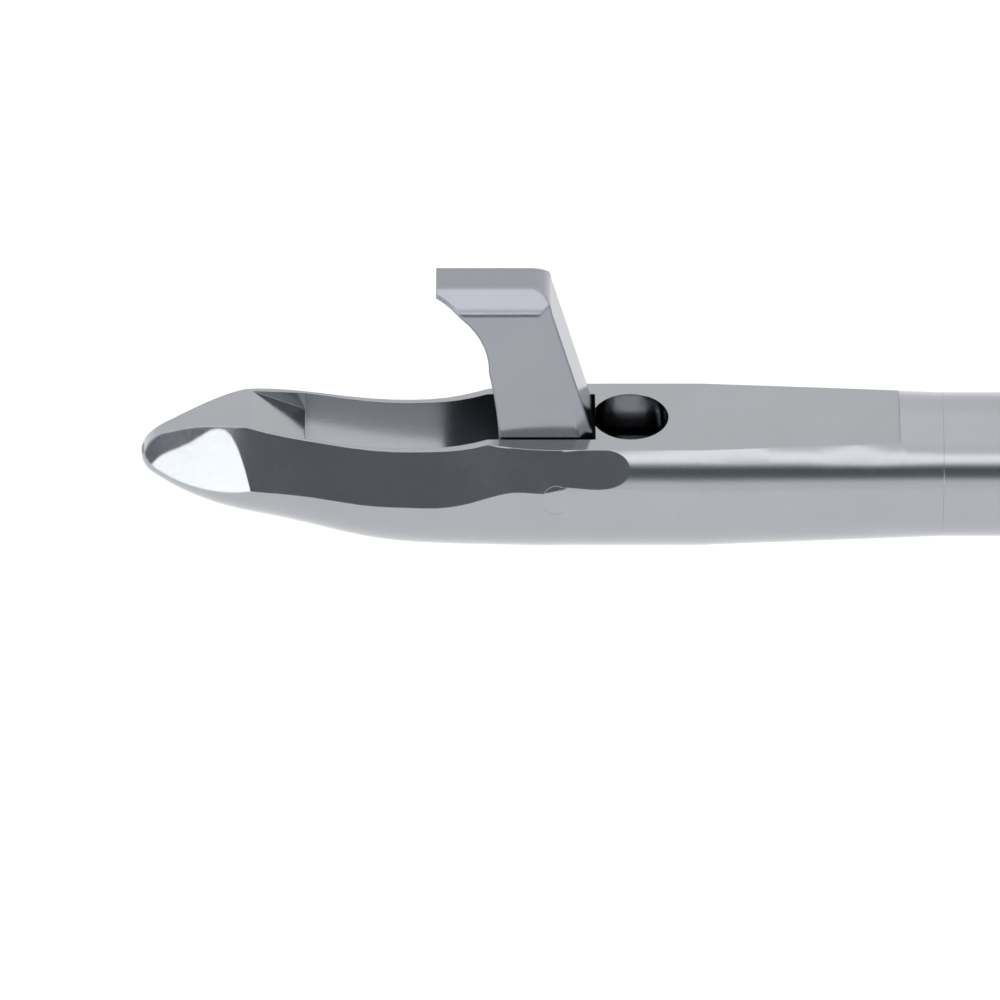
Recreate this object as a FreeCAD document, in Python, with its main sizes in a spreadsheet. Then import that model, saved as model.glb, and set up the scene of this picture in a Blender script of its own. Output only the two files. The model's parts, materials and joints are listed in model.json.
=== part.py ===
import FreeCAD, Part
import Sketcher
import math
import os

# Endoscopic punch forceps, in millimetres.
# +X runs from the tip back along the shaft, +Z is the side that the jaw opens to,
# and the origin is on the shaft's axis, under the jaw's pivot.

Vector = FreeCAD.Vector
document = FreeCAD.newDocument("punch_forceps")
sheet = document.addObject("Spreadsheet::Sheet", "Dim")

# Driving dimensions
SIZES = {
    # Distal head
    "head_radius": 2.25,
    "facet_slope": 57.0,
    "facet_cut": 3.0,
    "head_top": 1.64,
    "head_taper_start": 4.0,
    "head_end": 10.7,
    "spigot_length": 5.0,
    "slot_half_width": 1.056,
    "slot_end": 1.083,
    "pocket_floor": -1.61,
    "window_front": -6.97,
    "window_back": -3.14,
    "window_flare_front": -0.55,
    "window_flare_back": -1.2,
    "window_flare": 0.5,
    "ramp_front": -8.45,
    "ramp_front_half_width": 0.82,
    "ramp_top": 1.93,
    "ramp_low": 1.12,
    "relief_hole_x": 2.056,
    "relief_hole_radius": 1.056,
    "rod_bore_radius": 0.95,
    # Pivot and jaw
    "pivot_height": 0.39,
    "pivot_pin_radius": 0.4,
    "pivot_pin_near": 2.0,
    "pivot_pin_far": 2.15,
    "running_gap": 0.02,
    "seat_gap": 0.01,
    "jaw_half_width": 1.0,
    "jaw_top": 6.39,
    "jaw_chamfer_inner": 0.458,
    "jaw_chamfer_side": 0.402,
    "jaw_chamfer_drop": 0.47,
    "jaw_edge_drop": 0.22,
    "jaw_lip_x": -3.306,
    "jaw_lip_height": 6.167,
    "jaw_back_x": 1.0,
    "jaw_back_angle": 74.7,
    "jaw_back_chamfer": 0.36,
    "jaw_back_inset": 0.22,
    "hub_radius": 0.95,
    "pivot_boss_radius": 0.58,
    "closing_angle": 75.0,
    "drive_arm": 1.25,
    "drive_pin_radius": 0.3,
    "drive_pin_gap": 0.035,
    "tail_radius": 0.52,
    "tongue_thickness": 0.9,
    "tongue_gap": 0.06,
    "tongue_length": 3.4,
    "tongue_drop": 0.64,
    # Drive rod and shaft
    "rod_radius": 0.8,
    "tube_radius": 2.0,
    "tube_bore_radius": 1.5,
    "shaft_length": 126.0,
    "guide_length": 5.0,
    "guide_first": 38.0,
    "guide_pitch": 34.0,
    "guide_gap": 0.04,
    "ball_radius": 1.5,
    "ball_gap": 0.05,
    # Ferrule, seal and flush port
    "ferrule_length": 14.0,
    "ferrule_radius": 4.0,
    "ferrule_nose_radius": 2.6,
    "ferrule_nose_length": 6.0,
    "gland_length": 3.4,
    "gland_radius": 2.6,
    "seal_radius": 0.85,
    "seal_behind": 1.4,
    "port_ahead": 9.0,
    "port_height": 12.0,
    "port_radius": 3.0,
    "port_bore_radius": 2.0,
    "port_flange_radius": 3.9,
    "port_flange_height": 1.6,
    "port_bore_depth": 6.0,
    "port_duct_radius": 0.9,
    # Fixed handle
    "tube_grip": 4.0,
    "body_length": 27.0,
    "body_half_width": 4.5,
    "body_top": 6.5,
    "body_bottom": -16.0,
    "lever_slot_half_width": 2.8,
    "lever_slot_behind": 7.0,
    "lever_slot_roof": 4.4,
    "ring_radius": 11.5,
    "ring_bar_radius": 2.1,
    "finger_ring_behind": 3.5,
    "finger_ring_height": -74.0,
    "arm_radius": 2.4,
    # Thumb lever
    "lever_pivot_behind": 14.0,
    "lever_arm": 6.86,
    "lever_half_width": 2.5,
    "lever_head_half_length": 3.4,
    "lever_head_top": 2.4,
    "lever_boss_radius": 4.2,
    "thumb_ring_behind": 29.5,
    "thumb_ring_height": -68.0,
    "shoulder_radius": 1.5,
    "screw_head_radius": 3.0,
    "screw_head_height": 1.2,
    "driver_slot": 0.8,
    "driver_slot_depth": 0.5,
    "bush_radius": 2.25,
    "washer_radius": 3.2,
    "washer_gap": 0.03,
    "keeper_thickness": 0.7,
    "small_screw_radius": 0.4,
    "small_screw_length": 2.0,
    "small_head_radius": 0.7,
    "small_head_height": 0.35,
    "stop_screw_radius": 1.25,
    "stop_screw_height": -13.5,
    "stop_screw_behind": 2.0,
    "stop_screw_length": 14.8,
    "clamp_screw_radius": 0.8,
    "clamp_screw_ahead": 6.5,
}

# The round hull of the head, from the tip back: each station's place along X, the height
# of its centre and its radius
HULL = (
    ("end", -11.50, 0.45, 0.12),
    ("tip", -11.43, 0.46, 0.34),
    ("snub", -11.22, 0.50, 0.60),
    ("nose", -10.90, 0.57, 0.86),
    ("cheek", -10.40, 0.64, 1.19),
    ("brow", -9.70, 0.70, 1.53),
    ("crown", -8.90, 0.74, 1.80),
    ("fore", -8.00, 0.70, 1.95),
    ("chest", -6.90, 0.45, 1.99),
    ("waist", -5.70, 0.14, 2.03),
    ("belly", -4.50, -0.07, 2.055),
    ("saddle", -3.30, -0.125, 2.09),
    ("shoulder", -2.20, -0.10, 2.14),
    ("rise", -1.10, -0.03, 2.22),
    ("barrel", 0.20, 0.00, 2.25),
)

# The facets ground along both sides: each station's place along X and the distance of
# the facet from the shaft's axis, measured square to it
FACET = (
    ("front", -12.20, 0.30),
    ("tip", -11.40, 0.62),
    ("nose", -10.70, 0.95),
    ("cheek", -10.00, 1.26),
    ("brow", -9.30, 1.57),
    ("crown", -8.70, 1.77),
    ("fore", -8.10, 1.86),
    ("chest", -7.20, 1.875),
    ("waist", -5.70, 1.785),
    ("belly", -4.40, 1.737),
    ("saddle", -3.40, 1.755),
    ("shoulder", -2.30, 1.90),
    ("rise", -1.10, 2.115),
    ("fade", 0.20, 2.195),
    ("runout", 2.00, 2.245),
    ("clear", 3.20, 2.30),
)
# The flat shaved on each side of the nose passes through these corners: place along X,
# distance aside and height
NOSE_FLAT = (
    ("tip", -11.0, 0.587, 0.584),
    ("rim", -9.1, 0.80, 1.80),
    ("jowl", -9.6, 1.30, 0.50),
)
HULL_FIELDS = ("x", "centre", "radius")
FACET_FIELDS = ("x", "reach")
FLAT_FIELDS = ("x", "aside", "height")

for row, (alias, number) in enumerate(SIZES.items(), start=1):
    sheet.set("A%d" % row, alias)
    sheet.set("B%d" % row, str(number))
    sheet.setAlias("B%d" % row, alias)
for table, stations, columns, fields in (("hull", HULL, "DEF", HULL_FIELDS),
                                         ("facet", FACET, "GH", FACET_FIELDS),
                                         ("flat", NOSE_FLAT, "LMN", FLAT_FIELDS)):
    for row, station in enumerate(stations, start=1):
        for column, field, number in zip(columns, fields, station[1:]):
            sheet.set("%s%d" % (column, row), str(number))
            sheet.setAlias("%s%d" % (column, row), "%s_%s_%s" % (table, station[0], field))
document.recompute()


def value(expression):
    """The number that an expression in the named sizes comes to."""
    return float(sheet.evalExpression(expression))


# Sizes worked out from others, kept in the sheet beside them
DERIVED = {
    "half_swing": "closing_angle / 2",
    "pin_low": "pivot_height - drive_arm",
    "pin_x": "-drive_arm * sin(half_swing)",
    "pin_height": "pivot_height - drive_arm * cos(half_swing)",
    "tongue_low": "pin_low - drive_pin_radius - drive_pin_gap - 0.12",
    "tongue_top": "pivot_height - tongue_drop",
    "tongue_bottom": "tongue_low - 0.1",
    "rod_start": "pin_x - drive_pin_radius - 0.45 + tongue_length + 1.8",
    "tube_end": "shaft_length",
    "body_start": "tube_end - tube_grip",
    "body_end": "body_start + body_length",
    "ferrule_start": "body_start - ferrule_length",
    "port_x": "tube_end - port_ahead",
    "clamp_screw_x": "tube_end - clamp_screw_ahead",
    "seal_x": "tube_end + seal_behind",
    "lever_slot_front": "tube_end + lever_slot_behind",
    "lever_pivot_x": "tube_end + lever_pivot_behind",
    "lever_pivot_height": "-lever_arm",
    "rod_end": "lever_pivot_x",
    "finger_ring_x": "body_start + finger_ring_behind",
    "thumb_ring_x": "lever_pivot_x + thumb_ring_behind",
    "stop_screw_start": "body_start + stop_screw_behind",
    "stop_screw_tip": "stop_screw_start + stop_screw_length",
}
for row, (alias, formula) in enumerate(DERIVED.items(), start=1):
    sheet.set("K%d" % row, "=" + formula)
    sheet.setAlias("K%d" % row, alias)
    document.recompute()


# Sketches and features

def new_body(name):
    body = document.addObject("PartDesign::Body", name)
    body.Label = name
    return body


def new_sketch(body, name, role, offset="0"):
    """An empty sketch on one of the body's own planes, moved along its normal."""
    sketch = body.newObject("Sketcher::SketchObject", body.Name + "_" + name)
    plane = [item for item in body.Origin.OriginFeatures if item.Role == role][0]
    sketch.AttachmentSupport = [(plane, "")]
    sketch.MapMode = "FlatFace"
    sketch.setExpression("AttachmentOffset.Base.z", offset)
    return sketch


def held(kind, geometry, point, expression):
    """A constraint that holds one coordinate of a sketch point at an expression."""
    return Sketcher.Constraint(kind, -1, 1, geometry, point, value(expression)), expression


def constrain(sketch, rules):
    """Add every rule at once, from geometry that already meets them, then bind them."""
    numbers = sketch.addConstraint([rule for rule, expression in rules])
    for number, (rule, expression) in zip(numbers, rules):
        if expression:
            sketch.setExpression("Constraints[%d]" % number, expression)


def add_arc(sketch, start, middle, end):
    """An arc drawn anticlockwise; gives the sketch's numbers for its start and its end."""
    centre = Part.Circle(start, middle, end).Center
    onward = (middle - start).cross(end - middle).z > 0
    first, last = (start, end) if onward else (end, start)
    angles = [math.atan2(spot.y - centre.y, spot.x - centre.x) for spot in (first, last)]
    if angles[1] < angles[0]:
        angles[1] += 2 * math.pi
    round_line = Part.Circle(centre, Vector(0, 0, 1), centre.distanceToPoint(start))
    sketch.addGeometry(Part.ArcOfCircle(round_line, *angles), False)
    return (1, 2) if onward else (2, 1)


def outline(body, name, role, corners, offset="0"):
    """A closed chain of lines, with arcs where a corner also names a point on its arc.

    Each corner is a pair of expressions, or four: the corner, then the point on the way.
    """
    sketch = new_sketch(body, name, role, offset)
    spots = [Vector(value(corner[0]), value(corner[1]), 0) for corner in corners]
    count = len(corners)
    ends, rules = [], []
    for index, corner in enumerate(corners):
        start, end = spots[index], spots[(index + 1) % count]
        if len(corner) == 4:
            middle = Vector(value(corner[2]), value(corner[3]), 0)
            ends.append(add_arc(sketch, start, middle, end))
        else:
            sketch.addGeometry(Part.LineSegment(start, end), False)
            ends.append((1, 2))
    for index, corner in enumerate(corners):
        following = (index + 1) % count
        rules.append((Sketcher.Constraint("Coincident", index, ends[index][1],
                                          following, ends[following][0]), None))
        rules.append(held("DistanceX", index, ends[index][0], corner[0]))
        rules.append(held("DistanceY", index, ends[index][0], corner[1]))
        if len(corner) == 4:
            middle = Vector(value(corner[2]), value(corner[3]), 0)
            point = sketch.addGeometry(Part.Point(middle), True)
            rules.append(held("DistanceX", point, 1, corner[2]))
            rules.append(held("DistanceY", point, 1, corner[3]))
            rules.append((Sketcher.Constraint("PointOnObject", point, 1, index), None))
    constrain(sketch, rules)
    return sketch


def circle(body, name, role, across, up, radius, offset="0"):
    sketch = new_sketch(body, name, role, offset)
    centre = Vector(value(across), value(up), 0)
    sketch.addGeometry(Part.Circle(centre, Vector(0, 0, 1), value(radius)), False)
    constrain(sketch, [
        held("DistanceX", 0, 3, across),
        held("DistanceY", 0, 3, up),
        (Sketcher.Constraint("Radius", 0, value(radius)), radius),
    ])
    return sketch


def extrude(body, kind, sketch, length, both_ways=True, turned=False):
    """A pad or pocket of a sketch, the same each way from its plane or to one side."""
    feature = body.newObject("PartDesign::" + kind, sketch.Name + "_" + kind.lower())
    feature.Profile = sketch
    feature.SideType = "Symmetric" if both_ways else "One side"
    feature.Reversed = turned
    feature.setExpression("Length", length)
    body.Tip = feature
    return feature


def pad(body, sketch, length, **ways):
    return extrude(body, "Pad", sketch, length, **ways)


def pocket(body, sketch, length, **ways):
    return extrude(body, "Pocket", sketch, length, **ways)


def turn(body, kind, sketch, axis="X_Axis"):
    """A Revolution or Groove of a sketch, all the way round one of the body's axes."""
    feature = body.newObject("PartDesign::" + kind, sketch.Name + "_" + kind.lower())
    feature.Profile = sketch
    line = [item for item in body.Origin.OriginFeatures if item.Role == axis][0]
    feature.ReferenceAxis = (line, [""])
    feature.Angle = 360
    body.Tip = feature
    return feature


def turn_upright(body, kind, sketch, across):
    """A Revolution or Groove of a sketch about an upright line at a place along X."""
    line = body.newObject("PartDesign::Line", sketch.Name + "_axis")
    line.setExpression("Placement.Base.x", across)
    feature = body.newObject("PartDesign::" + kind, sketch.Name + "_" + kind.lower())
    feature.Profile = sketch
    feature.ReferenceAxis = (line, [""])
    feature.Angle = 360
    body.Tip = feature


def turned_body(name, corners, axis="X_Axis", role="XZ_Plane"):
    """A round piece, from the outline of one half of its section."""
    body = new_body(name)
    turn(body, "Revolution", outline(body, "section", role, corners), axis)
    return body


def cross_pin(name, across, up, radius, half_length, hollow=None):
    """A pin or bush that lies along Y."""
    body = new_body(name)
    pad(body, circle(body, "round", "XZ_Plane", across, up, radius), "2 * (%s)" % half_length)
    if hollow:
        pocket(body, circle(body, "bore", "XZ_Plane", across, up, hollow),
               "2 * (%s) + 1" % half_length)
    return body


# Distal head

def loft(body, kind, name, sections):
    feature = body.newObject("PartDesign::%sLoft" % kind, name)
    feature.Profile = sections[0]
    feature.Sections = sections[1:]
    body.Tip = feature
    return feature


def facet_section(body, station, side, sign):
    """One section of what is ground away: a box whose inner side is the facet's line."""
    lean = "Dim.facet_slope"
    reach = "Dim.facet_%s_reach" % station

    def corner(out, along):
        across = "(%s + %s) * sin(%s) - (%s) * cos(%s)" % (reach, out, lean, along, lean)
        height = "(%s + %s) * cos(%s) + (%s) * sin(%s)" % (reach, out, lean, along, lean)
        return sign + "(%s)" % across, height

    half = "Dim.facet_cut"
    return outline(body, "facet_%s_%s" % (side, station), "YZ_Plane", (
        corner("0", "-" + half), corner("0", half),
        corner(half, half), corner(half, "-" + half),
    ), offset="Dim.facet_%s_x" % station)


def shave_nose(body, side, turned):
    """A flat cut through the nose's three named corners, on one side."""
    corners = [Vector(value("flat_%s_x" % name), turned * value("flat_%s_aside" % name),
                      value("flat_%s_height" % name))
               for name in (corner[0] for corner in NOSE_FLAT)]
    outward = (corners[1] - corners[0]).cross(corners[2] - corners[0])
    if outward.y * turned < 0:
        outward = -outward
    cutter = body.newObject("PartDesign::SubtractiveBox", "nose_flat_" + side)
    reach = value("facet_cut")
    cutter.setExpression("Length", "2 * Dim.facet_cut")
    cutter.setExpression("Width", "2 * Dim.facet_cut")
    cutter.setExpression("Height", "Dim.facet_cut")
    facing = FreeCAD.Rotation(Vector(0, 0, 1), outward)
    middle = (corners[0] + corners[1] + corners[2]) * (1 / 3)
    cutter.Placement = FreeCAD.Placement(
        middle + facing.multVec(Vector(-reach, -reach, 0)), facing)
    body.Tip = cutter


def trough_section(body, name, place, half_width, floor):
    return outline(body, name, "YZ_Plane", (
        ("-" + half_width, floor), (half_width, floor), (half_width, "3"),
        ("-" + half_width, "3"),
    ), offset=place)


def flare_section(body, end):
    """One end of the flare that widens the window towards the underside."""
    start = "Dim.window_flare_" + end
    wide = "(Dim.slot_half_width + (%s + 3) * Dim.window_flare)" % start
    return outline(body, "flare_" + end, "YZ_Plane", (
        ("-Dim.slot_half_width", start), ("-" + wide, "-3"), (wide, "-3"),
        ("Dim.slot_half_width", start),
    ), offset="Dim.window_" + end)


def make_head():
    body = new_body("distal_head")
    loft(body, "Additive", "head_hull", [
        circle(body, "round_" + name, "YZ_Plane", "0", "Dim.hull_%s_centre" % name,
               "Dim.hull_%s_radius" % name, offset="Dim.hull_%s_x" % name)
        for name in (station[0] for station in HULL)])
    front = "Dim.hull_%s_x" % HULL[-1][0]
    barrel = outline(body, "barrel", "XZ_Plane", (
        (front, "0"), (front, "Dim.head_radius"),
        ("Dim.head_taper_start", "Dim.head_radius"),
        ("Dim.head_end", "Dim.tube_radius"),
        ("Dim.head_end", "Dim.tube_bore_radius - Dim.seat_gap"),
        ("Dim.head_end + Dim.spigot_length", "Dim.tube_bore_radius - Dim.seat_gap"),
        ("Dim.head_end + Dim.spigot_length", "0"),
    ))
    turn(body, "Revolution", barrel)
    for side, sign in (("near", "-"), ("far", "")):
        loft(body, "Subtractive", "grind_" + side, [
            facet_section(body, station[0], side, sign) for station in FACET])
    shave_nose(body, "near", -1)
    shave_nose(body, "far", 1)
    # Top profile: the nose bevel, the dip of the cutting rim and the flat behind it
    top = outline(body, "top", "XZ_Plane", (
        ("-12.5", "0.55"), ("-11.45", "0.55", "-11.2", "1.02"),
        ("-10.7", "1.34", "-9.8", "1.70"),
        ("-8.6", "1.95", "-7.4", "1.75"),
        ("-5.72", "1.46", "-4.6", "1.34"),
        ("-3.5", "1.34", "-2.8", "1.41"),
        ("-1.9", "Dim.head_top"),
        ("9.5", "Dim.head_top"), ("9.5", "3"), ("-12.5", "3"),
    ))
    pocket(body, top, "8")
    # The ramp in front of the window, then window and pocket at one width
    loft(body, "Subtractive", "ramp", [
        trough_section(body, "ramp_front", "Dim.ramp_front", "Dim.ramp_front_half_width",
                       "Dim.ramp_top"),
        trough_section(body, "ramp_back", "Dim.window_front + 0.01", "Dim.slot_half_width",
                       "Dim.ramp_low")])
    deep = "Dim.pocket_floor"
    slot = outline(body, "slot", "XZ_Plane", (
        ("Dim.window_front", "-3"), ("Dim.window_back", "-3"),
        ("Dim.window_back", deep), ("Dim.slot_end", deep),
        ("Dim.slot_end", "3"), ("Dim.window_front", "3"),
    ))
    pocket(body, slot, "2 * Dim.slot_half_width")
    loft(body, "Subtractive", "window_flare", [
        flare_section(body, "front"), flare_section(body, "back")])
    relief = circle(body, "relief", "XY_Plane", "Dim.relief_hole_x", "0",
                    "Dim.relief_hole_radius", offset=deep)
    pocket(body, relief, "5", both_ways=False, turned=True)
    undercut = outline(body, "undercut", "XZ_Plane", (
        ("Dim.slot_end - 0.1", deep), ("Dim.slot_end + 0.4", deep),
        ("Dim.slot_end + 0.4", "-0.1"), ("Dim.slot_end - 0.1", "-0.1"),
    ))
    pocket(body, undercut, "2 * Dim.slot_half_width")
    bore = circle(body, "rod_bore", "YZ_Plane", "0", "0", "Dim.rod_bore_radius",
                  offset="Dim.slot_end - 0.2")
    pocket(body, bore, "Dim.head_end + Dim.spigot_length", both_ways=False, turned=True)
    tongue_way = outline(body, "tongue_way", "YZ_Plane", (
        ("-Dim.tongue_thickness / 2 - 0.1", "Dim.tongue_bottom"),
        ("Dim.tongue_thickness / 2 + 0.1", "Dim.tongue_bottom"),
        ("Dim.tongue_thickness / 2 + 0.1", "0"),
        ("-Dim.tongue_thickness / 2 - 0.1", "0"),
    ), offset="Dim.slot_end - 0.2")
    pocket(body, tongue_way, "Dim.tongue_length + 2", both_ways=False, turned=True)
    pin_seat = circle(body, "pin_seat", "XZ_Plane", "0", "Dim.pivot_height",
                      "Dim.pivot_pin_radius + Dim.seat_gap")
    pocket(body, pin_seat, "6")
    return body


# Punch jaw

def make_jaw():
    """The jaw as it stands open: a hooked blade, a round hub and a forked tail."""
    body = new_body("punch_jaw")
    back_x = "Dim.jaw_back_x"
    back_top = "%s - (Dim.jaw_top - Dim.head_top) / tan(Dim.jaw_back_angle)" % back_x
    blade = outline(body, "blade", "XZ_Plane", (
        ("0.9", "0.39"), (back_x, "Dim.head_top"),
        (back_top + " + 0.16", "Dim.jaw_top - 0.60", back_top + " - 0.02", "Dim.jaw_top - 0.17"),
        (back_top + " - 0.42", "Dim.jaw_top"),
        ("Dim.jaw_lip_x", "Dim.jaw_top"),
        ("Dim.jaw_lip_x", "Dim.jaw_lip_height", "-2.36", "5.43"),
        ("-1.86", "3.89", "-1.66", "2.60"),
        ("-1.57", "1.30"),
        ("-0.9", "0.39"),
    ))
    pad(body, blade, "2 * Dim.jaw_half_width")
    for side, sign in (("near", "-"), ("far", "")):
        loft(body, "Subtractive", "back_edge_" + side, [
            back_edge_section(body, side, sign, "low", "1.0"),
            back_edge_section(body, side, sign, "high", "Dim.jaw_top + 0.5")])
    hub = circle(body, "hub", "XZ_Plane", "0", "Dim.pivot_height", "Dim.hub_radius")
    pad(body, hub, "2 * Dim.jaw_half_width")
    tail = outline(body, "tail", "XZ_Plane", tail_corners())
    pad(body, tail, "2 * Dim.jaw_half_width")
    pocket(body, outline(body, "fork", "XZ_Plane", fork_corners()),
           "Dim.tongue_thickness + 2 * Dim.tongue_gap")
    bore = circle(body, "pivot_bore", "XZ_Plane", "0", "Dim.pivot_height",
                  "Dim.pivot_pin_radius + Dim.running_gap")
    pocket(body, bore, "4")
    seat = circle(body, "drive_seat", "XZ_Plane", "Dim.pin_x", "Dim.pin_height",
                  "Dim.drive_pin_radius + Dim.seat_gap")
    pocket(body, seat, "4")
    chamfer_top(body)
    return body


def back_edge_section(body, side, sign, level, height):
    """A level section of the bevel between the blade's back and one of its sides."""
    back = "(Dim.jaw_back_x - (%s - Dim.head_top) / tan(Dim.jaw_back_angle))" % height
    side_face = sign + "(Dim.jaw_half_width + Dim.jaw_back_inset)"
    back_face = sign + "(Dim.jaw_half_width - 2 * Dim.jaw_back_inset)"
    return outline(body, "back_edge_%s_%s" % (side, level), "XY_Plane", (
        (back + " - 2 * Dim.jaw_back_chamfer", side_face),
        (back + " + Dim.jaw_back_chamfer", back_face),
        (back + " + 1.2", sign + "(Dim.jaw_half_width + 1)"),
    ), offset=height)


def tail_corners():
    """The tail's outline: two sides along the drive arm and a round end about its pin."""
    along = "sin(Dim.half_swing)", "cos(Dim.half_swing)"
    wide = "Dim.tail_radius"
    near = ("%s * %s" % (wide, along[1]), "Dim.pivot_height - %s * %s" % (wide, along[0]))
    far = ("-%s * %s" % (wide, along[1]), "Dim.pivot_height + %s * %s" % (wide, along[0]))
    end_near = ("Dim.pin_x + %s * %s" % (wide, along[1]),
                "Dim.pin_height - %s * %s" % (wide, along[0]))
    end_far = ("Dim.pin_x - %s * %s" % (wide, along[1]),
               "Dim.pin_height + %s * %s" % (wide, along[0]))
    tip = ("Dim.pin_x - %s * %s" % (wide, along[0]), "Dim.pin_height - %s * %s" % (wide, along[1]))
    return (near, end_near + tip, end_far, far)


def fork_corners():
    """The room between the jaw's cheeks, round the boss that the tongue sweeps past."""
    boss = "Dim.pivot_boss_radius"
    low = "Dim.pivot_height - " + boss
    part_way = "Dim.closing_angle / 2"
    return (
        ("2.5", low), ("2.5", "-3"), ("-3", "-3"), ("-3", "Dim.pivot_height"),
        ("-1.05", "Dim.pivot_height - 0.02"),
        ("-%s * sin(Dim.closing_angle)" % boss,
         "Dim.pivot_height - %s * cos(Dim.closing_angle)" % boss,
         "-%s * sin(%s)" % (boss, part_way),
         "Dim.pivot_height - %s * cos(%s)" % (boss, part_way)),
        ("0", low),
    )


def chamfer_top(body):
    """The slopes between the jaw's end face and its sides, rounded where they end."""
    inner = "Dim.jaw_chamfer_inner"
    low = "Dim.jaw_top - Dim.jaw_chamfer_drop"
    for side, sign in (("near", "-"), ("far", "")):
        wedge = outline(body, "wedge_" + side, "YZ_Plane", (
            (sign + inner, "Dim.jaw_top"),
            (sign + "(%s + Dim.jaw_chamfer_side)" % inner, low,
             sign + "(Dim.jaw_half_width - 0.045)", low + " - Dim.jaw_edge_drop * 0.45"),
            (sign + "Dim.jaw_half_width", low + " - Dim.jaw_edge_drop"),
            (sign + "(Dim.jaw_half_width + 1)", low),
            (sign + "(Dim.jaw_half_width + 1)", "Dim.jaw_top + 1"),
            (sign + inner, "Dim.jaw_top + 1"),
        ))
        pocket(body, wedge, "12")


# Drive train

def make_pivot_pin():
    """The jaw's pin, pressed in from the far side."""
    body = new_body("jaw_pivot_pin")
    start = "Dim.pivot_pin_near - Dim.seat_gap"
    pad(body, circle(body, "round", "XZ_Plane", "0", "Dim.pivot_height",
                     "Dim.pivot_pin_radius", offset=start),
        start + " + Dim.pivot_pin_far", both_ways=False, turned=True)
    return body


def make_drive_pin():
    return cross_pin("drive_pin", "Dim.pin_x", "Dim.pin_height", "Dim.drive_pin_radius",
                     "Dim.jaw_half_width - 0.03")


def make_tongue():
    """The flat hook on the end of the rod, with an upright notch for the drive pin."""
    body = new_body("rod_tongue")
    top, low = "Dim.tongue_top", "Dim.tongue_low"
    front = "Dim.pin_x - Dim.drive_pin_radius - 0.45"
    back = front + " + Dim.tongue_length"
    flag = outline(body, "flag", "XZ_Plane", (
        (front + " + 0.25", low), (back, low), (back, "0.3"), (back + " - 0.45", "0.3"),
        (back + " - 0.8", top), (front + " + 0.25", top),
        (front, top + " - 0.25"), (front, low + " + 0.25"),
    ))
    pad(body, flag, "Dim.tongue_thickness")
    neck = circle(body, "neck", "YZ_Plane", "0", "0", "Dim.rod_radius",
                  offset=back + " - 0.2")
    pad(body, neck, "2.0", both_ways=False)
    reach = "(Dim.drive_pin_radius + Dim.drive_pin_gap)"
    notch = outline(body, "notch", "XZ_Plane", (
        ("Dim.pin_x - " + reach, "Dim.pin_low", "Dim.pin_x", "Dim.pin_low - " + reach),
        ("Dim.pin_x + " + reach, "Dim.pin_low"),
        ("Dim.pin_x + " + reach, "1"), ("Dim.pin_x - " + reach, "1"),
    ))
    pocket(body, notch, "2")
    return body


def ball_section():
    """Half the section of the ball on the rod's end, as two quarter arcs."""
    part_way = "Dim.ball_radius * cos(45)"
    return (
        ("Dim.rod_end - Dim.ball_radius", "0", "Dim.rod_end - " + part_way, part_way),
        ("Dim.rod_end", "Dim.ball_radius", "Dim.rod_end + " + part_way, part_way),
        ("Dim.rod_end + Dim.ball_radius", "0"),
    )


def make_rod():
    """The long rod, hollowed at its end to seat on the ball."""
    edge = "asin(Dim.rod_radius / Dim.ball_radius)"
    return turned_body("drive_rod", (
        ("Dim.rod_start", "0"), ("Dim.rod_start", "Dim.rod_radius"),
        ("Dim.rod_end - Dim.ball_radius * cos(%s)" % edge, "Dim.rod_radius",
         "Dim.rod_end - Dim.ball_radius * cos(%s / 2)" % edge,
         "Dim.ball_radius * sin(%s / 2)" % edge),
        ("Dim.rod_end - Dim.ball_radius", "0"),
    ))


def make_rod_ball():
    return turned_body("rod_ball", ball_section())


# Shaft

def ring_section(start, end, inner, outer):
    """Half the section of a plain ring about the shaft's axis."""
    return ((start, inner), (end, inner), (end, outer), (start, outer))


def make_tube():
    return turned_body("shaft_tube", ring_section(
        "Dim.head_end", "Dim.tube_end", "Dim.tube_bore_radius", "Dim.tube_radius"))


def make_guide(number):
    """One of the plain bushes that keep the rod on the tube's axis."""
    start = "Dim.guide_first + %d * Dim.guide_pitch" % number
    return turned_body("guide_bush_%d" % number, ring_section(
        start, start + " + Dim.guide_length",
        "Dim.rod_radius + Dim.guide_gap", "Dim.tube_bore_radius - Dim.seat_gap"))


def make_ferrule():
    """The tapered collar that joins the tube to the handle."""
    body = turned_body("shaft_ferrule", (
        ("Dim.ferrule_start", "Dim.tube_radius + Dim.seat_gap"),
        ("Dim.ferrule_start", "Dim.ferrule_nose_radius",
         "Dim.ferrule_start + Dim.ferrule_nose_length / 2",
         "(Dim.ferrule_nose_radius + Dim.ferrule_radius) / 2 - 0.25"),
        ("Dim.ferrule_start + Dim.ferrule_nose_length", "Dim.ferrule_radius"),
        ("Dim.body_start", "Dim.ferrule_radius"),
        ("Dim.body_start", "Dim.tube_radius + Dim.seat_gap"),
    ))
    duct = circle(body, "duct", "XY_Plane", "Dim.port_x", "0", "Dim.port_duct_radius")
    pocket(body, duct, "Dim.ferrule_radius + 2", both_ways=False, turned=True)
    clamp = circle(body, "clamp_hole", "XY_Plane", "Dim.clamp_screw_x", "0",
                   "Dim.clamp_screw_radius + Dim.seat_gap")
    pocket(body, clamp, "Dim.ferrule_radius + 2", both_ways=False)
    return body


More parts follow.
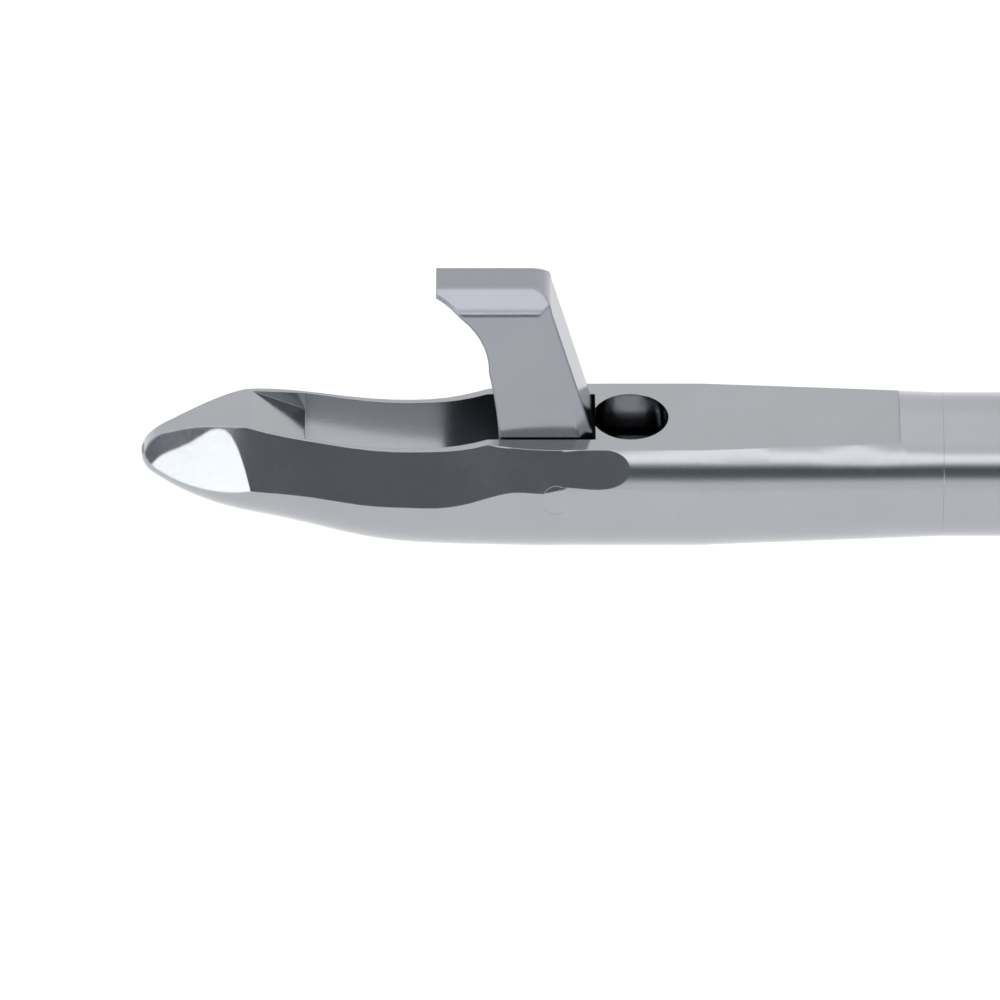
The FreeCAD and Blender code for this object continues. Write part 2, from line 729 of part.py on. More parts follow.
def make_port():
    """The upright flush port: a stem on the ferrule, a flanged mouth and a blind bore."""
    body = new_body("flush_port")
    stem_low = "Dim.tube_radius + 0.6"
    mouth = "Dim.port_height"
    section = outline(body, "section", "XZ_Plane", (
        ("Dim.port_x + Dim.port_duct_radius", stem_low),
        ("Dim.port_x + Dim.port_radius", stem_low),
        ("Dim.port_x + Dim.port_radius", mouth + " - Dim.port_flange_height"),
        ("Dim.port_x + Dim.port_flange_radius", mouth + " - Dim.port_flange_height"),
        ("Dim.port_x + Dim.port_flange_radius", mouth),
        ("Dim.port_x + Dim.port_bore_radius", mouth),
        ("Dim.port_x + Dim.port_bore_radius", mouth + " - Dim.port_bore_depth"),
        ("Dim.port_x + Dim.port_duct_radius", mouth + " - Dim.port_bore_depth"),
    ))
    turn_upright(body, "Revolution", section, "Dim.port_x")
    saddle = circle(body, "saddle", "YZ_Plane", "0", "0",
                    "Dim.ferrule_radius + Dim.seat_gap", offset="Dim.port_x")
    pocket(body, saddle, "20")
    return body


# Seal

def make_seal():
    body = new_body("rod_seal")
    middle = "Dim.rod_radius + Dim.running_gap + Dim.seal_radius"
    turn(body, "Revolution", circle(body, "section", "XZ_Plane", "Dim.seal_x", middle,
                                    "Dim.seal_radius"))
    return body


def make_gland():
    return turned_body("seal_gland", ring_section(
        "Dim.lever_slot_front - Dim.gland_length", "Dim.lever_slot_front - 0.3",
        "Dim.rod_radius + 0.1", "Dim.gland_radius"))


def make_clamp_screw():
    """The small grub screw under the ferrule that holds the tube."""
    body = new_body("clamp_screw")
    length = "Dim.ferrule_radius - Dim.tube_radius - 0.25"
    pad(body, circle(body, "shank", "XY_Plane", "Dim.clamp_screw_x", "0",
                     "Dim.clamp_screw_radius", offset="-Dim.ferrule_radius + 0.2"),
        length, both_ways=False)
    return body


# Handles

def add_ring(body, across, up):
    """A round finger loop whose axis lies along Y."""
    section = circle(body, "loop", "XY_Plane", across + " + Dim.ring_radius", "0",
                     "Dim.ring_bar_radius", offset=up)
    line = body.newObject("PartDesign::Line", body.Name + "_loop_axis")
    line.Placement = FreeCAD.Placement(Vector(), FreeCAD.Rotation(Vector(1, 0, 0), -90))
    line.setExpression("Placement.Base.x", across)
    line.setExpression("Placement.Base.z", up)
    feature = body.newObject("PartDesign::Revolution", body.Name + "_loop_round")
    feature.Profile = section
    feature.ReferenceAxis = (line, [""])
    feature.Angle = 360
    body.Tip = feature


def add_arm(body, stations):
    """A tapering round arm through circles given as height, place along X and radius."""
    rounds = [circle(body, "arm%d" % index, "XY_Plane", across, "0", radius, offset=up)
              for index, (up, across, radius) in enumerate(stations)]
    loft = body.newObject("PartDesign::AdditiveLoft", body.Name + "_arm")
    loft.Profile = rounds[0]
    loft.Sections = rounds[1:]
    body.Tip = loft


def make_handle():
    """The fixed handle: a slotted block for the lever, a front arm and a finger loop."""
    body = new_body("fixed_handle")
    start, end = "Dim.body_start", "Dim.body_end"
    top, bottom = "Dim.body_top", "Dim.body_bottom"
    block = outline(body, "block", "XZ_Plane", (
        (start, "-6"), (start, top + " - 2.5", start + " + 0.7", top + " - 0.7"),
        (start + " + 2.5", top), (end + " - 9", top, end + " - 3.2", top + " - 1.9"),
        (end, top + " - 7"), (end, "-9.5", end + " - 2.0", "-14.2"),
        (end + " - 7", bottom), (start + " + 1.5", bottom),
    ))
    pad(body, block, "2 * Dim.body_half_width")
    add_arm(body, (
        (bottom + " + 3", start + " + 5.2", "3.6"),
        (bottom + " - 9", start + " + 4.2", "2.9"),
        ("Dim.finger_ring_height + Dim.ring_radius + 22", start + " + 3.4", "2.5"),
        ("Dim.finger_ring_height + Dim.ring_radius", "Dim.finger_ring_x", "2.3"),
    ))
    add_ring(body, "Dim.finger_ring_x", "Dim.finger_ring_height")
    bore = circle(body, "tube_bore", "YZ_Plane", "0", "0", "Dim.tube_radius + Dim.seat_gap",
                  offset=start + " - 1")
    pocket(body, bore, "Dim.tube_end - %s + 1" % start, both_ways=False, turned=True)
    gland = circle(body, "gland_bore", "YZ_Plane", "0", "0", "Dim.gland_radius + Dim.seat_gap",
                   offset="Dim.tube_end")
    pocket(body, gland, "9", both_ways=False, turned=True)
    slot = outline(body, "lever_slot", "XZ_Plane", (
        ("Dim.lever_slot_front", bottom + " - 8"), (end + " + 2", bottom + " - 8"),
        (end + " + 2", "Dim.lever_slot_roof"), ("Dim.lever_slot_front", "Dim.lever_slot_roof"),
    ))
    pocket(body, slot, "2 * Dim.lever_slot_half_width")
    pocket(body, circle(body, "pivot_hole", "XZ_Plane", "Dim.lever_pivot_x",
                        "Dim.lever_pivot_height", "Dim.shoulder_radius + Dim.seat_gap"), "20")
    sink = circle(body, "head_sink", "XZ_Plane", "Dim.lever_pivot_x", "Dim.lever_pivot_height",
                  "Dim.screw_head_radius + 0.1",
                  offset="Dim.body_half_width - Dim.screw_head_height - 0.05")
    pocket(body, sink, "3", both_ways=False, turned=True)
    pocket(body, circle(body, "stop_hole", "YZ_Plane", "0", "Dim.stop_screw_height",
                        "Dim.stop_screw_radius + Dim.seat_gap", offset=start + " - 1"),
           "15", both_ways=False, turned=True)
    return body


def make_lever():
    """The thumb lever: a socket for the rod's ball, a boss, a curved arm and a loop."""
    body = new_body("thumb_lever")
    pivot, height = "Dim.lever_pivot_x", "Dim.lever_pivot_height"
    half = "Dim.lever_head_half_length"
    width = "2 * Dim.lever_half_width"
    head = outline(body, "head", "XZ_Plane", (
        (pivot + " - 3.6", height), (pivot + " + 3.6", height),
        (pivot + " + " + half, "-2"), (pivot + " + " + half, "Dim.lever_head_top"),
        (pivot + " - " + half, "Dim.lever_head_top"), (pivot + " - " + half, "-2"),
    ))
    pad(body, head, width)
    pad(body, circle(body, "boss", "XZ_Plane", pivot, height, "Dim.lever_boss_radius"), width)
    ring_top = "Dim.thumb_ring_height + Dim.ring_radius"
    add_arm(body, (
        (height + " - 1.5", pivot + " + 0.8", "Dim.lever_half_width - 0.05"),
        (height + " - 9", pivot + " + 4.4", "Dim.lever_half_width - 0.05"),
        (ring_top + " + 18", "Dim.thumb_ring_x - 10.5", "2.4"),
        (ring_top + " - 2.5", "Dim.thumb_ring_x - 5.2", "2.2"),
    ))
    add_ring(body, "Dim.thumb_ring_x", "Dim.thumb_ring_height")
    pocket(body, circle(body, "bush_bore", "XZ_Plane", pivot, height,
                        "Dim.bush_radius + Dim.seat_gap"), "8")
    room = "Dim.ball_radius + Dim.ball_gap"
    socket = outline(body, "socket", "XZ_Plane", (
        ("Dim.rod_end - (%s)" % room, "-(%s) - 0.05" % room),
        ("Dim.rod_end + %s" % room, "-(%s) - 0.05" % room),
        ("Dim.rod_end + %s" % room, "Dim.lever_head_top + 1"),
        ("Dim.rod_end - (%s)" % room, "Dim.lever_head_top + 1"),
    ))
    pocket(body, socket, "2 * (%s)" % room)
    slit = outline(body, "slit", "XZ_Plane", (
        ("Dim.rod_end - 6", "-(%s) - 0.05" % room), ("Dim.rod_end", "-(%s) - 0.05" % room),
        ("Dim.rod_end", "Dim.lever_head_top + 1"), ("Dim.rod_end - 6", "Dim.lever_head_top + 1"),
    ))
    pocket(body, slit, "2 * (Dim.rod_radius + 0.12)")
    for name, across, aside in keeper_spots():
        hole = circle(body, "hole_" + name, "XY_Plane", across, aside,
                      "Dim.small_screw_radius + Dim.seat_gap", offset="Dim.lever_head_top + 1")
        pocket(body, hole, "Dim.small_screw_length + 1.2", both_ways=False)
    return body


def keeper_spots():
    """Where the four keeper screws stand: a pair on each side of the ball."""
    inset = "Dim.lever_head_half_length - 0.9"
    aside = "(Dim.lever_half_width - 0.85)"
    return [(front + side, "Dim.lever_pivot_x %s (%s)" % (along, inset), sign + aside)
            for front, along in (("front", "-"), ("back", "+"))
            for side, sign in (("near", "-"), ("far", ""))]


def make_keeper():
    """The small plate that closes the ball's socket."""
    body = new_body("ball_keeper")
    half = "Dim.lever_head_half_length"
    wide = "Dim.lever_half_width"
    plate = outline(body, "plate", "XY_Plane", (
        ("Dim.lever_pivot_x - %s" % half, "-%s" % wide),
        ("Dim.lever_pivot_x + %s" % half, "-%s" % wide),
        ("Dim.lever_pivot_x + %s" % half, wide),
        ("Dim.lever_pivot_x - %s" % half, wide),
    ), offset="Dim.lever_head_top")
    pad(body, plate, "Dim.keeper_thickness", both_ways=False)
    for name, across, aside in keeper_spots():
        hole = circle(body, "hole_" + name, "XY_Plane", across, aside,
                      "Dim.small_screw_radius + Dim.seat_gap", offset="Dim.lever_head_top - 1")
        pocket(body, hole, "4", both_ways=False, turned=True)
    return body


def make_keeper_screw(name, across, aside):
    body = new_body("keeper_screw_" + name)
    seat = "Dim.lever_head_top + Dim.keeper_thickness"
    pad(body, circle(body, "shank", "XY_Plane", across, aside, "Dim.small_screw_radius",
                     offset=seat + " - Dim.small_screw_length"),
        "Dim.small_screw_length", both_ways=False)
    pad(body, circle(body, "head", "XY_Plane", across, aside, "Dim.small_head_radius",
                     offset=seat), "Dim.small_head_height", both_ways=False)
    return body


def make_pivot_screw():
    """The shoulder screw that the lever turns on, with its head sunk in the near cheek."""
    body = cross_pin("pivot_screw", "Dim.lever_pivot_x", "Dim.lever_pivot_height",
                     "Dim.shoulder_radius", "Dim.body_half_width - 0.1")
    head = circle(body, "head", "XZ_Plane", "Dim.lever_pivot_x", "Dim.lever_pivot_height",
                  "Dim.screw_head_radius",
                  offset="Dim.body_half_width - Dim.screw_head_height - 0.05")
    pad(body, head, "Dim.screw_head_height", both_ways=False)
    slot = outline(body, "driver_slot", "XZ_Plane", (
        ("Dim.lever_pivot_x - Dim.screw_head_radius - 1",
         "Dim.lever_pivot_height - Dim.driver_slot / 2"),
        ("Dim.lever_pivot_x + Dim.screw_head_radius + 1",
         "Dim.lever_pivot_height - Dim.driver_slot / 2"),
        ("Dim.lever_pivot_x + Dim.screw_head_radius + 1",
         "Dim.lever_pivot_height + Dim.driver_slot / 2"),
        ("Dim.lever_pivot_x - Dim.screw_head_radius - 1",
         "Dim.lever_pivot_height + Dim.driver_slot / 2"),
    ), offset="Dim.body_half_width - Dim.driver_slot_depth")
    pocket(body, slot, "2", both_ways=False, turned=True)
    return body


def make_washer(name, offset):
    body = new_body("thrust_washer_" + name)
    thickness = "Dim.lever_slot_half_width - Dim.lever_half_width - 2 * Dim.washer_gap"
    pad(body, circle(body, "disc", "XZ_Plane", "Dim.lever_pivot_x", "Dim.lever_pivot_height",
                     "Dim.washer_radius", offset=offset), thickness, both_ways=False)
    pocket(body, circle(body, "hole", "XZ_Plane", "Dim.lever_pivot_x",
                        "Dim.lever_pivot_height", "Dim.shoulder_radius + 0.05"), "12")
    return body


def make_stop_screw():
    body = new_body("stop_screw")
    pad(body, circle(body, "shank", "YZ_Plane", "0", "Dim.stop_screw_height",
                     "Dim.stop_screw_radius", offset="Dim.stop_screw_start"),
        "Dim.stop_screw_length", both_ways=False)
    slot = outline(body, "driver_slot", "YZ_Plane", (
        ("-3", "Dim.stop_screw_height - Dim.driver_slot / 4"),
        ("3", "Dim.stop_screw_height - Dim.driver_slot / 4"),
        ("3", "Dim.stop_screw_height + Dim.driver_slot / 4"),
        ("-3", "Dim.stop_screw_height + Dim.driver_slot / 4"),
    ), offset="Dim.stop_screw_start + Dim.driver_slot_depth")
    pocket(body, slot, "2", both_ways=False)
    return body


def group(name, bodies):
    """Like pieces that share one node."""
    document.recompute()
    compound = document.addObject("Part::Compound", name)
    compound.Label = name
    compound.Links = bodies
    return compound


def write(bodies):
    document.recompute()
    os.makedirs("parts", exist_ok=True)
    for item in document.Objects:
        if "Invalid" in item.State or "Error" in item.State:
            raise RuntimeError("%s did not compute: %s" % (item.Name, item.getStatusString()))
    for body in bodies:
        if body.Shape.isNull() or not body.Shape.isValid():
            raise RuntimeError("%s has no valid shape" % body.Label)
    for body in bodies:
        body.Shape.exportStep("parts/%s.step" % body.Label)
        print(body.Label, len(body.Shape.Solids), round(body.Shape.Volume, 3))


def make_all():
    bush = cross_pin("pivot_bush", "Dim.lever_pivot_x", "Dim.lever_pivot_height",
                     "Dim.bush_radius", "Dim.lever_half_width",
                     hollow="Dim.shoulder_radius + Dim.running_gap")
    washers = [make_washer("near", "Dim.lever_half_width + Dim.washer_gap"),
               make_washer("far", "-Dim.lever_slot_half_width + Dim.washer_gap")]
    return [
        make_head(), make_jaw(), make_pivot_pin(), make_drive_pin(), make_tongue(), make_rod(),
        make_rod_ball(), make_tube(), make_ferrule(), make_port(), make_seal(), make_gland(),
        make_clamp_screw(), make_handle(), make_lever(), make_keeper(), make_pivot_screw(),
        bush, make_stop_screw(),
        group("guide_bushes", [make_guide(number) for number in range(3)]),
        group("thrust_washers", washers),
        group("keeper_screws", [make_keeper_screw(*spot) for spot in keeper_spots()]),
    ]


write(make_all())
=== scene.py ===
import json
import math

import bpy
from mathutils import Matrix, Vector


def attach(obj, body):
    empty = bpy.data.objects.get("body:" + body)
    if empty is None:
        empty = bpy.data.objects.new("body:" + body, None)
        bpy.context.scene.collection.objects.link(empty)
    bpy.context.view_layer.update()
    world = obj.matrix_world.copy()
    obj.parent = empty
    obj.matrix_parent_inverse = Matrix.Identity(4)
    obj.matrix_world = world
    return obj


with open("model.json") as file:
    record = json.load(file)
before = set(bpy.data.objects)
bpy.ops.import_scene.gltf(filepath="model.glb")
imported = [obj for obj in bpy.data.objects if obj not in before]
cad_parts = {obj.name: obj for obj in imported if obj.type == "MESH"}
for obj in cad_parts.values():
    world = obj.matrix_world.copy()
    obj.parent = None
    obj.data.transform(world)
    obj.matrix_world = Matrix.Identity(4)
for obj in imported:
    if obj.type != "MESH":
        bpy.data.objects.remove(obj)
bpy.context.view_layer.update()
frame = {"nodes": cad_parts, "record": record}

MM = 0.001

# The photograph's frame is 1000 pixels wide, and the head's 4.5 mm is 162 of them
IMAGE_SIZE = 1000
PIXELS_PER_MM = 36.0
SHAFT_ROW = 464
PIVOT_COLUMN = 556
CAMERA_ELEVATION = math.radians(37.2)
CAMERA_DISTANCE = 0.30
CAMERA_CLIP = (0.01, 20)
SENSOR_MM = 36.0


def add_camera():
    """A long lens on the tip, so that the photograph's frame holds the head alone."""
    data = bpy.data.cameras.new("camera")
    width = IMAGE_SIZE / PIXELS_PER_MM * MM
    data.sensor_width = SENSOR_MM
    data.lens = SENSOR_MM * CAMERA_DISTANCE / width
    data.clip_start, data.clip_end = CAMERA_CLIP
    camera = bpy.data.objects.new("camera", data)
    bpy.context.collection.objects.link(camera)
    half = IMAGE_SIZE / 2
    right = (half - PIVOT_COLUMN) / PIXELS_PER_MM * MM
    up = (SHAFT_ROW - half) / PIXELS_PER_MM * MM
    toward = Vector((0, -math.cos(CAMERA_ELEVATION), math.sin(CAMERA_ELEVATION)))
    screen_up = Vector((0, math.sin(CAMERA_ELEVATION), math.cos(CAMERA_ELEVATION)))
    centre = Vector((1, 0, 0)) * right + screen_up * up
    camera.rotation_euler = (math.pi / 2 - CAMERA_ELEVATION, 0, 0)
    camera.location = centre + toward * CAMERA_DISTANCE
    bpy.context.scene.camera = camera


class Nodes:
    """A short way to build the node tree of a material or a world."""

    def __init__(self, owner):
        owner.use_nodes = True
        self.owner = owner
        self.tree = owner.node_tree

    def add(self, kind, **settings):
        node = self.tree.nodes.new("ShaderNode" + kind)
        for name, setting in settings.items():
            if hasattr(node, name):
                setattr(node, name, setting)
            else:
                node.inputs[name.replace("_", " ")].default_value = setting
        return node

    def link(self, source, target):
        self.tree.links.new(source, target)


def new_material(name):
    """A new material's nodes and its main shader."""
    n = Nodes(bpy.data.materials.new(name))
    return n, n.tree.nodes["Principled BSDF"]


def paint_bore_shade(n, place, tone, start, radius, share):
    """Paint shade: darken what lies behind a place along X and within a radius of the shaft's
    axis, standing in for the shade inside a bore.
    """
    across = n.add("CombineXYZ")
    n.link(place.outputs["Y"], across.inputs["Y"])
    n.link(place.outputs["Z"], across.inputs["Z"])
    reach = n.add("VectorMath", operation="LENGTH")
    n.link(across.outputs["Vector"], reach.inputs[0])
    outside = n.add("MapRange")
    outside.inputs["From Min"].default_value = (radius - BORE_BLEND) * MM
    outside.inputs["From Max"].default_value = radius * MM
    n.link(reach.outputs["Value"], outside.inputs["Value"])
    ahead = n.add("MapRange")
    ahead.inputs["From Min"].default_value = start * MM
    ahead.inputs["From Max"].default_value = (start - BORE_BLEND) * MM
    n.link(place.outputs["X"], ahead.inputs["Value"])
    clear = n.add("Math", operation="MAXIMUM")
    n.link(outside.outputs["Result"], clear.inputs[0])
    n.link(ahead.outputs["Result"], clear.inputs[1])
    level = n.add("MapRange")
    level.inputs["To Min"].default_value = share
    n.link(clear.outputs["Value"], level.inputs["Value"])
    dark = n.add("VectorMath", operation="SCALE")
    n.link(tone, dark.inputs[0])
    n.link(level.outputs["Result"], dark.inputs["Scale"])
    return dark.outputs["Vector"]


def steel(name, color, roughness, edge=0.03, nose_edge=None, bore=None):
    """Satin steel: fine grain, faint mottling, worn gloss and edges broken by a radius in mm.

    A head's polished nose has softer edges, and its bore is darkened as painted shade.
    """
    n, shader = new_material(name)
    coordinates = n.add("TexCoord")
    grain = n.add("TexNoise", Scale=GRAIN_SCALE, Detail=3.0, Roughness=0.6)
    n.link(coordinates.outputs["Object"], grain.inputs["Vector"])
    cloud = n.add("TexNoise", Scale=MOTTLE_SCALE, Detail=4.0, Roughness=0.65)
    n.link(coordinates.outputs["Object"], cloud.inputs["Vector"])
    shade = n.add("Mix", data_type="RGBA")
    shade.inputs["A"].default_value = (*(value * (1 - MOTTLE) for value in color), 1)
    shade.inputs["B"].default_value = (*(value * (1 + MOTTLE) for value in color), 1)
    n.link(cloud.outputs["Fac"], shade.inputs["Factor"])
    tone = shade.outputs["Result"]
    place = n.add("SeparateXYZ")
    n.link(coordinates.outputs["Object"], place.inputs["Vector"])
    # Painted shade: the bore's base colour is darkened where shade falls inside it
    if bore:
        tone = paint_bore_shade(n, place, tone, *bore)
    n.link(tone, shader.inputs["Base Color"])
    gloss = n.add("MapRange")
    gloss.inputs["To Min"].default_value = roughness * WORN_GLOSS[0]
    gloss.inputs["To Max"].default_value = roughness * WORN_GLOSS[1]
    n.link(grain.outputs["Fac"], gloss.inputs["Value"])
    n.link(gloss.outputs["Result"], shader.inputs["Roughness"])
    relief = n.add("Bump", Strength=GRAIN_STRENGTH, Distance=GRAIN_DEPTH * MM)
    n.link(grain.outputs["Fac"], relief.inputs["Height"])
    if edge:
        broken = n.add("Bevel", samples=BEVEL_SAMPLES, Radius=edge * MM)
        n.link(broken.outputs["Normal"], relief.inputs["Normal"])
    if nose_edge:
        softer = n.add("MapRange", interpolation_type="SMOOTHSTEP")
        softer.inputs["From Min"].default_value = NOSE_END * MM
        softer.inputs["From Max"].default_value = NOSE_START * MM
        softer.inputs["To Min"].default_value = nose_edge * MM
        softer.inputs["To Max"].default_value = edge * MM
        n.link(place.outputs["X"], softer.inputs["Value"])
        n.link(softer.outputs["Result"], broken.inputs["Radius"])
    n.link(relief.outputs["Normal"], shader.inputs["Normal"])
    shader.inputs["Metallic"].default_value = 1.0
    return n.owner


def rubber(name):
    """Dull black rubber with a faint fine mottling."""
    n, shader = new_material(name)
    coordinates = n.add("TexCoord")
    grain = n.add("TexNoise", Scale=RUBBER_SCALE, Detail=2.0)
    n.link(coordinates.outputs["Object"], grain.inputs["Vector"])
    shade = n.add("Mix", data_type="RGBA")
    shade.inputs["A"].default_value = (*RUBBER_TONES[0], 1)
    shade.inputs["B"].default_value = (*RUBBER_TONES[1], 1)
    n.link(grain.outputs["Fac"], shade.inputs["Factor"])
    n.link(shade.outputs["Result"], shader.inputs["Base Color"])
    shader.inputs["Roughness"].default_value = RUBBER_ROUGHNESS
    return n.owner


# The steel's grain and its broader mottling: how fine they are, how deep the grain is in mm,
# how much the mottling changes the tone and the grain the gloss
GRAIN_SCALE = 9000
GRAIN_STRENGTH = 0.03
GRAIN_DEPTH = 0.02
MOTTLE_SCALE = 2600 / 6
MOTTLE = 0.06
WORN_GLOSS = (0.8, 1.25)
# The polished nose has the softer edges up to NOSE_END along X, in mm, and from NOSE_START
# on the edges are as elsewhere
NOSE_END = -8.9
NOSE_START = -8.3
BEVEL_SAMPLES = 6
# Painted shade in the head's bore: where it begins along X, its reach from the axis, both in mm,
# and the share of the outside's colour that it leaves
HEAD_BORE_SHADE = (1.0, 1.5, 0.45)
BORE_BLEND = 0.1
RUBBER_SCALE = 4000.0
RUBBER_TONES = ((0.015, 0.015, 0.016), (0.03, 0.03, 0.03))
RUBBER_ROUGHNESS = 0.6
HEAD_TONE = (0.395, 0.41, 0.43)

MATERIALS = {
    "head_steel": steel("head_steel", HEAD_TONE, 0.16, nose_edge=0.11, bore=HEAD_BORE_SHADE),
    "cap_steel": steel("cap_steel", HEAD_TONE, 0.16, edge=0),
    "jaw_steel": steel("jaw_steel", (0.325, 0.333, 0.365), 0.18, edge=0.14),
    "pin_steel": steel("pin_steel", HEAD_TONE, 0.2),
    # rod_steel is the steel darkened as painted shade, for the rod lying inside the head's bore
    "rod_steel": steel("rod_steel", (0.30, 0.30, 0.31), 0.25),
    "tube_steel": steel("tube_steel", HEAD_TONE, 0.16),
    "satin_steel": steel("satin_steel", (0.42, 0.42, 0.425), 0.3),
    "handle_steel": steel("handle_steel", (0.43, 0.43, 0.435), 0.32, edge=0.15),
    "bush_bronze": steel("bush_bronze", (0.50, 0.34, 0.18), 0.3),
    "seal_rubber": rubber("seal_rubber"),
}


def dress_nodes():
    """Give every CAD node the finish of its slot."""
    slots = {part["node"]: part["material_slot"] for part in frame["record"]["subparts"]}
    for node, piece in frame["nodes"].items():
        piece.data.materials.clear()
        piece.data.materials.append(MATERIALS[slots[node]])


# The studio's brightness by height over the shaft, in degrees: 0 is level, towards the
# camera's side, 90 is overhead and 180 is level on the far side
STUDIO = (
    (0, 1.00), (9, 1.00), (17, 0.22), (21, 0.18), (27, 0.13), (31, 0.12), (36, 0.60), (40, 1.70),
    (49, 1.90), (55, 1.02), (75, 1.12), (120, 1.12), (140, 1.00), (180, 1.00),
)
STUDIO_PEAK = 3.0
HALF_TURN = 180
# The dark gap, which is all that lies under this level, is tinted a cool blue
GAP_LEVEL = 0.3
GAP_TINT = (0.86, 0.98, 1.16)
# A lamp that the nose's flat mirrors: where it stands, how far it is whole and where it has
# faded out, both in degrees, and its brightness
NOSE_LAMP = (-0.64, -0.80, 0.12)
NOSE_LAMP_REACH = (12.4, 13.6)
NOSE_LAMP_LEVEL = 3.0
FLOOR_HEIGHT = -0.0877
FLOOR_SIZE = 6.0


def blend_spot(n, direction, color, place, reach, level):
    """Blend a round spot of one level into the world's colour."""
    dot = n.add("VectorMath", operation="DOT_PRODUCT")
    dot.inputs[1].default_value = Vector(place).normalized()
    n.link(direction, dot.inputs[0])
    whole, faded = (math.cos(math.radians(degrees)) for degrees in reach)
    near = n.add("MapRange", interpolation_type="SMOOTHSTEP")
    near.inputs["From Min"].default_value = faded
    near.inputs["From Max"].default_value = whole
    n.link(dot.outputs["Value"], near.inputs["Value"])
    mix = n.add("Mix", data_type="RGBA")
    n.link(near.outputs["Result"], mix.inputs["Factor"])
    n.link(color, mix.inputs["A"])
    shade = level / STUDIO_PEAK
    mix.inputs["B"].default_value = (shade, shade, shade, 1)
    return mix.outputs["Result"]


def height_share(n, direction):
    """A direction's angle round the shaft, from level at the camera's side, as a share of 180."""
    parts = n.add("SeparateXYZ")
    n.link(direction, parts.inputs["Vector"])
    toward = n.add("Math", operation="MULTIPLY")
    toward.inputs[1].default_value = -1
    n.link(parts.outputs["Y"], toward.inputs[0])
    angle = n.add("Math", operation="ARCTAN2")
    n.link(parts.outputs["Z"], angle.inputs[0])
    n.link(toward.outputs["Value"], angle.inputs[1])
    share = n.add("MapRange")
    share.inputs["From Max"].default_value = math.pi
    n.link(angle.outputs["Value"], share.inputs["Value"])
    return share.outputs["Result"]


def add_world():
    """A white studio with a long soft box and a dark gap beside it, along the shaft."""
    n = Nodes(bpy.data.worlds.new("studio"))
    bpy.context.scene.world = n.owner
    direction = n.add("TexCoord").outputs["Generated"]
    ramp = n.add("ValToRGB")
    n.link(height_share(n, direction), ramp.inputs["Fac"])
    stops = ramp.color_ramp.elements
    stops.remove(stops[0])
    for number, (degrees, level) in enumerate(STUDIO):
        stop = stops[0] if number == 0 else stops.new(degrees / HALF_TURN)
        stop.position = degrees / HALF_TURN
        tint = GAP_TINT if level < GAP_LEVEL else (1, 1, 1)
        stop.color = (*(level / STUDIO_PEAK * part for part in tint), 1)
    color = blend_spot(n, direction, ramp.outputs["Color"], NOSE_LAMP, NOSE_LAMP_REACH,
                       NOSE_LAMP_LEVEL)
    background = n.tree.nodes["Background"]
    n.link(color, background.inputs["Color"])
    background.inputs["Strength"].default_value = STUDIO_PEAK


def add_floor():
    """A plain white floor just under the handle's loops."""
    mesh = bpy.data.meshes.new("floor")
    half = FLOOR_SIZE / 2
    corners = [(-half, -half, 0), (half, -half, 0), (half, half, 0), (-half, half, 0)]
    mesh.from_pydata(corners, [], [(0, 1, 2, 3)])
    floor = bpy.data.objects.new("floor", mesh)
    floor.location.z = FLOOR_HEIGHT
    bpy.context.collection.objects.link(floor)
    n, shader = new_material("floor_white")
    shader.inputs["Base Color"].default_value = (1, 1, 1, 1)
    shader.inputs["Roughness"].default_value = 1.0
    shader.inputs["Specular IOR Level"].default_value = 0.0
    mesh.materials.append(n.owner)


# The jaw's pin sits in a bore across the head. Its height, the size of the caps over its
# ends and the head's round are in mm. Here the head is round, but for the facets along its
# sides: how far they lie from the axis, how that grows along X and how they lean.
PIN_HEIGHT = 0.39
CAP_RADIUS = 0.46
CAP_LIFT = 0.001
CAP_DEPTH = 0.1
CAP_RINGS = 14
CAP_SIDES = 72
HEAD_ROUND = 2.247
FACET_AT_PIN = 2.167
FACET_SLOPE = 0.048
FACET_TILT = math.radians(33)
FAR_OUT = 5.0


def plain_reach(across, height):
    """How far the head's round or its facet lies from the middle plane, in mm."""
    on_round = math.sqrt(HEAD_ROUND ** 2 - height ** 2)
    facet = FACET_AT_PIN + FACET_SLOPE * across
    on_facet = (facet - height * math.sin(FACET_TILT)) / math.cos(FACET_TILT)
    return min(on_round, on_facet)


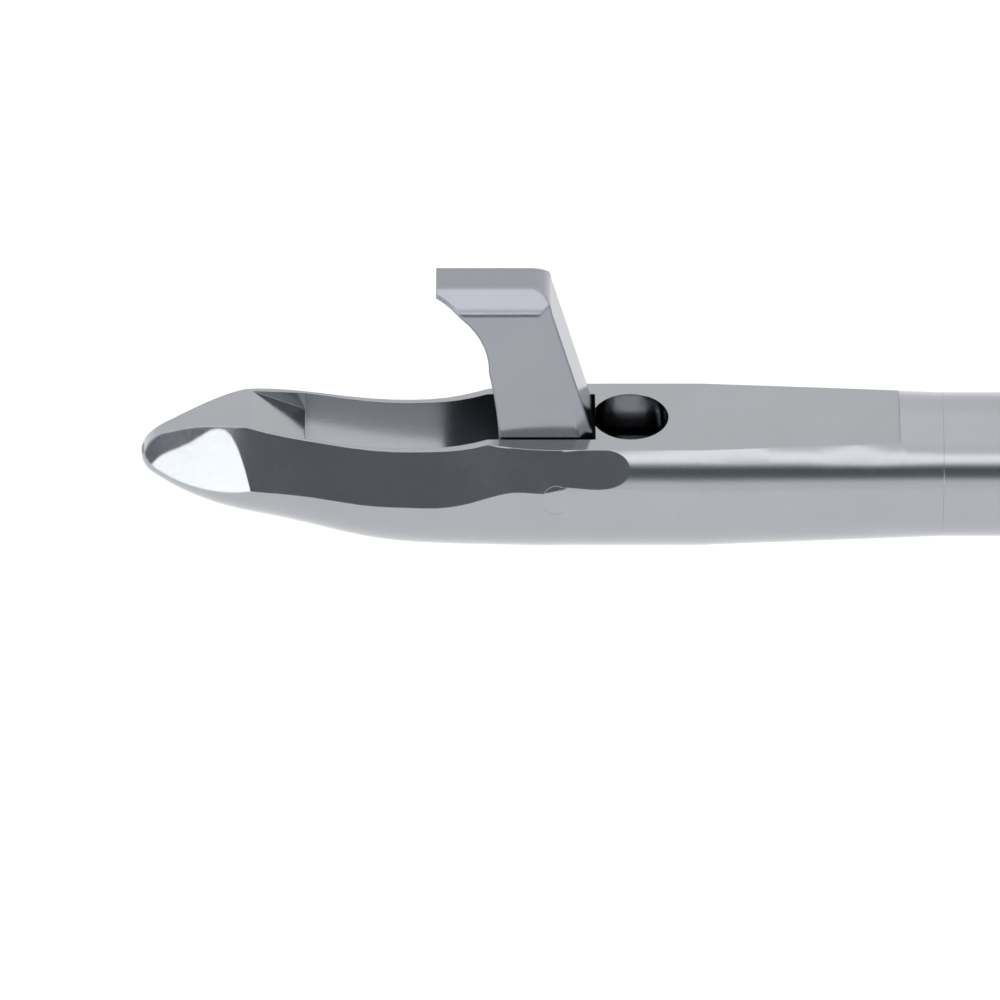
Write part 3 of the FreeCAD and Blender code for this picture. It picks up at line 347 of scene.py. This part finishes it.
def true_reach(across, height, side):
    """The same, met by a ray on the head itself."""
    head = frame["nodes"]["distal_head"]
    into_head = head.matrix_world.inverted()
    start = into_head @ (Vector((across, side * FAR_OUT, height)) * MM)
    end = into_head @ (Vector((across, 0, height)) * MM)
    place = head.ray_cast(start, (end - start).normalized())[1]
    return abs((head.matrix_world @ place).y) / MM


def cap_corners(side):
    """A cap's middle, its rings from the inside out, and its rim once more, sunk in the head."""
    corners = [(0, side * plain_reach(0, PIN_HEIGHT), PIN_HEIGHT)]
    turns = [2 * math.pi * step / CAP_SIDES for step in range(CAP_SIDES)]
    misses = []
    for turn in turns:
        across = CAP_RADIUS * math.cos(turn)
        height = PIN_HEIGHT + CAP_RADIUS * math.sin(turn)
        misses.append(true_reach(across, height, side) - plain_reach(across, height))
    for ring in range(1, CAP_RINGS + 1):
        share = ring / CAP_RINGS
        for turn, miss in zip(turns, misses):
            across = CAP_RADIUS * share * math.cos(turn)
            height = PIN_HEIGHT + CAP_RADIUS * share * math.sin(turn)
            reach = plain_reach(across, height) + share * miss + CAP_LIFT
            corners.append((across, side * reach, height))
    rim = corners[-CAP_SIDES:]
    corners += [(across, aside - side * CAP_DEPTH, height) for across, aside, height in rim]
    return corners


def cap_faces(side):
    """The faces between those corners, turned outwards."""
    faces = []
    for step in range(CAP_SIDES):
        after = (step + 1) % CAP_SIDES
        faces.append((0, 1 + step, 1 + after))
        for ring in range(CAP_RINGS):
            inner = 1 + ring * CAP_SIDES
            outer = inner + CAP_SIDES
            faces.append((inner + step, outer + step, outer + after, inner + after))
    last = (CAP_RINGS + 1) * CAP_SIDES
    faces.append(tuple(last - step for step in range(CAP_SIDES)))
    if side > 0:
        faces = [tuple(reversed(face)) for face in faces]
    return faces


def add_pin_cap(name, side):
    """The weld over one end of the jaw's pin, ground flush with the head."""
    bpy.context.view_layer.update()
    mesh = bpy.data.meshes.new(name)
    mesh.from_pydata([Vector(corner) * MM for corner in cap_corners(side)], [], cap_faces(side))
    mesh.materials.append(MATERIALS["cap_steel"])
    cap = bpy.data.objects.new(name, mesh)
    bpy.context.collection.objects.link(cap)
    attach(cap, "frame")


add_camera()
add_world()
add_floor()
dress_nodes()
add_pin_cap("pin_cap_near", -1)
add_pin_cap("pin_cap_far", 1)
bpy.context.scene.view_settings.view_transform = "Standard"
